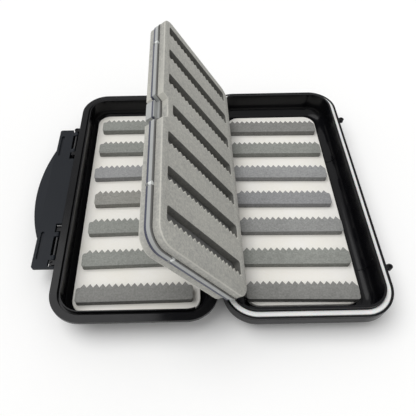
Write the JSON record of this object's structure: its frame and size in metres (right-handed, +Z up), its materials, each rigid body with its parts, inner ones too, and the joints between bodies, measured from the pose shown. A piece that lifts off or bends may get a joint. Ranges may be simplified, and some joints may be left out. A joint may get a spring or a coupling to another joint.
{
  "type": "fly box",
  "caption": "Open two-part pocket case with foam strips in both trays, a hinged foam leaf, a rim seal and a side latch.",
  "frame": {"origin": "centre of the base's underside, on the surface that the open case lies on", "axes": "+Z up out of the base's tray, +Y along the case hinge, +X from the hinge towards the base's latch side; the open lid lies on -X"},
  "size_m": [0.2107, 0.18, 0.0834],
  "materials": {
    "black_shell": "satin black moulded plastic",
    "seal": "smooth white rubber",
    "liner": "matt off-white foam sheet",
    "strip_foam": "fine-celled grey foam",
    "pad_foam": "fine-celled light grey foam",
    "clear_plate": "clear moulded plastic",
    "pin_steel": "plain steel wire",
    "pin_dark": "dark moulded pin",
    "latch_plastic": "satin dark grey plastic"
  },
  "bodies": {
    "base": {"base_shell": "black_shell", "base_gasket": "seal", "base_liner": "liner", "base_strip_1": "strip_foam", "base_strip_2": "strip_foam", "base_strip_3": "strip_foam", "base_strip_4": "strip_foam", "base_strip_5": "strip_foam", "base_strip_6": "strip_foam", "base_strip_7": "strip_foam", "hinge_pins": "pin_steel"},
    "lid": {"lid_shell": "black_shell", "lid_liner": "liner", "lid_strip_1": "strip_foam", "lid_strip_2": "strip_foam", "lid_strip_3": "strip_foam", "lid_strip_4": "strip_foam", "lid_strip_5": "strip_foam", "lid_strip_6": "strip_foam", "lid_strip_7": "strip_foam", "latch_pins": "pin_dark"},
    "leaf": {"leaf_plate_front": "clear_plate", "leaf_plate_back": "clear_plate", "leaf_pad_front": "pad_foam", "leaf_pad_back": "pad_foam", "leaf_rivets": "clear_plate"},
    "latch": {"latch": "latch_plastic"}
  },
  "joints": [
    {"name": "lid_hinge", "type": "hinge", "parent": "base", "child": "lid", "pos_m": [-0.0472, 0, 0.017], "axis": [0, 1, 0], "range_deg": [0, 180]},
    {"name": "leaf_hinge", "type": "hinge", "parent": "base", "child": "leaf", "pos_m": [-0.0388, 0, 0.01642], "axis": [0, 1, 0], "range_deg": [0, 124.66]},
    {"name": "latch_hinge", "type": "hinge", "parent": "lid", "child": "latch", "pos_m": [-0.1423, 0, 0.0151], "axis": [0, 1, 0], "range_deg": [0, 90]}
  ],
  "couplings": [
    {"joint": "leaf_hinge", "follows": "lid_hinge", "ratio": 0.69256}
  ]
}
